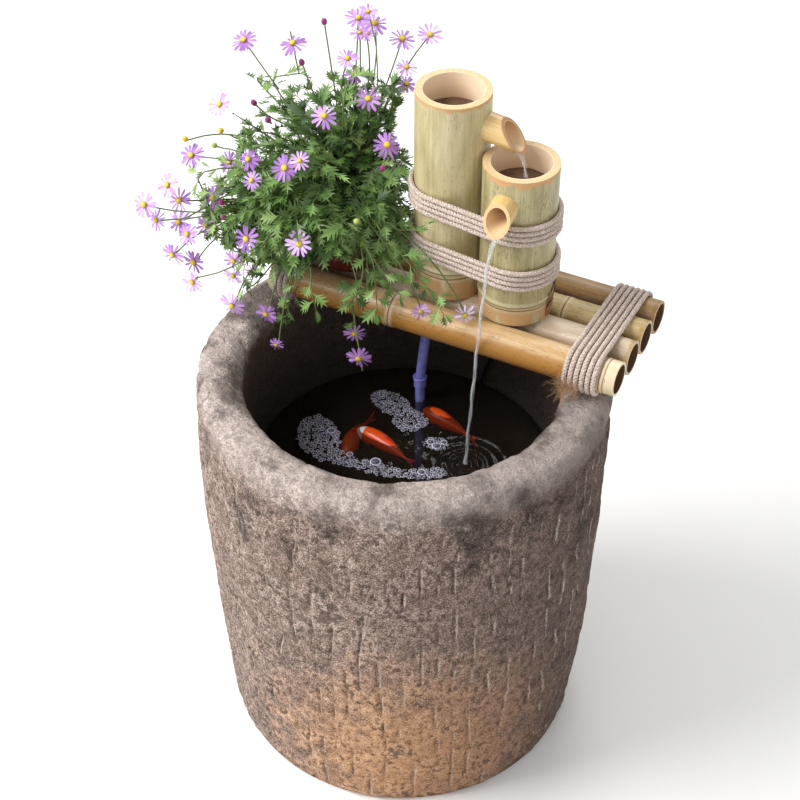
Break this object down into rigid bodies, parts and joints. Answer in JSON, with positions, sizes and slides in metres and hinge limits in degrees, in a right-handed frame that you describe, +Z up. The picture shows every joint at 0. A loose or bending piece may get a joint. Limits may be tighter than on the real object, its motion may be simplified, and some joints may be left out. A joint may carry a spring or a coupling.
{
  "type": "bamboo spout fountain",
  "caption": "Round stone basin with a raft of bamboo canes across its rim, two bound upright culms with spouts, a riser pipe and pump, and a potted daisy plant.",
  "frame": {"origin": "middle of the basin's foot, on the ground", "axes": "+Z up, +X along the raft towards its open lashed end, +Y towards the back, where the pump's cord leaves"},
  "size_m": [0.5359, 0.5272, 0.8096],
  "materials": {
    "bud": "satin",
    "cane_golden": "semi-gloss",
    "cane_pale": "satin",
    "cord": "satin",
    "culm": "satin",
    "disc": "matt",
    "leaf": "satin",
    "pot": "matt",
    "pump_case": "matt",
    "pump_copper": "enamelled",
    "pump_iron": "dull",
    "pump_magnet": "dull",
    "pump_rubber": "matt",
    "pump_shaft": "ground",
    "pump_white": "matt",
    "ray": "satin",
    "riser": "clear",
    "rope": "rough",
    "screw": "brushed",
    "soil": "crumbly",
    "sponge": "open cell",
    "spout": "semi-gloss",
    "stem": "satin",
    "stone_basin": "rough chiselled"
  },
  "bodies": {
    "basin": {"stone_basin": "stone_basin", "riser_lower": "riser", "pump_motor_housing": "pump_case", "pump_motor_cap": "pump_case", "pump_stator_yoke": "pump_iron", "pump_stator_coil": "pump_copper", "pump_shaft": "pump_shaft", "pump_shaft_bushes": "pump_rubber", "pump_volute_cover": "pump_case", "pump_suction_cups": "pump_rubber", "pump_cord_gland": "cord", "pump_cord": "cord", "pump_cord_coil": "cord", "pump_cord_tie": "pump_rubber", "pump_plug": "cord"},
    "fountain": {"raft_cane_front": "cane_golden", "raft_cane_second": "cane_pale", "raft_cane_third": "cane_pale", "raft_cane_back": "cane_pale", "raft_lashing_right": "rope", "raft_lashing_left": "rope", "tall_culm": "culm", "short_culm": "culm", "tall_spout": "spout", "short_spout": "spout", "upper_binding": "rope", "lower_binding": "rope", "culm_screws": "screw", "riser_upper": "riser", "riser_grommet": "pump_rubber"},
    "planter": {"plant_pot": "pot", "potting_soil": "soil", "foliage": "leaf", "flower_stems": "stem", "daisy_rays": "ray", "daisy_discs": "disc", "flower_buds": "bud"},
    "impeller": {"pump_impeller": "pump_white", "pump_rotor_magnet": "pump_magnet"},
    "intake_cover": {"pump_intake_cover": "pump_case", "pump_filter_sponge": "sponge"},
    "flow_dial": {"pump_flow_dial": "pump_white"}
  },
  "joints": [
    {"name": "fountain_lift", "type": "slide", "parent": "basin", "child": "fountain", "axis": [0, 0, 1], "range_m": [0, 0.42]},
    {"name": "planter_lift", "type": "slide", "parent": "fountain", "child": "planter", "axis": [0, 0, 1], "range_m": [0, 0.3]},
    {"name": "impeller_spin", "type": "hinge", "parent": "basin", "child": "impeller", "pos_m": [-0.0315, 0.1062, 0.086], "axis": [1, 0, 0], "continuous": true},
    {"name": "intake_slide", "type": "slide", "parent": "basin", "child": "intake_cover", "axis": [-1, 0, 0], "range_m": [0, 0.03]},
    {"name": "dial_turn", "type": "hinge", "parent": "intake_cover", "child": "flow_dial", "pos_m": [-0.054, 0.1062, 0.086], "axis": [1, 0, 0], "range_deg": [0, 90]}
  ]
}
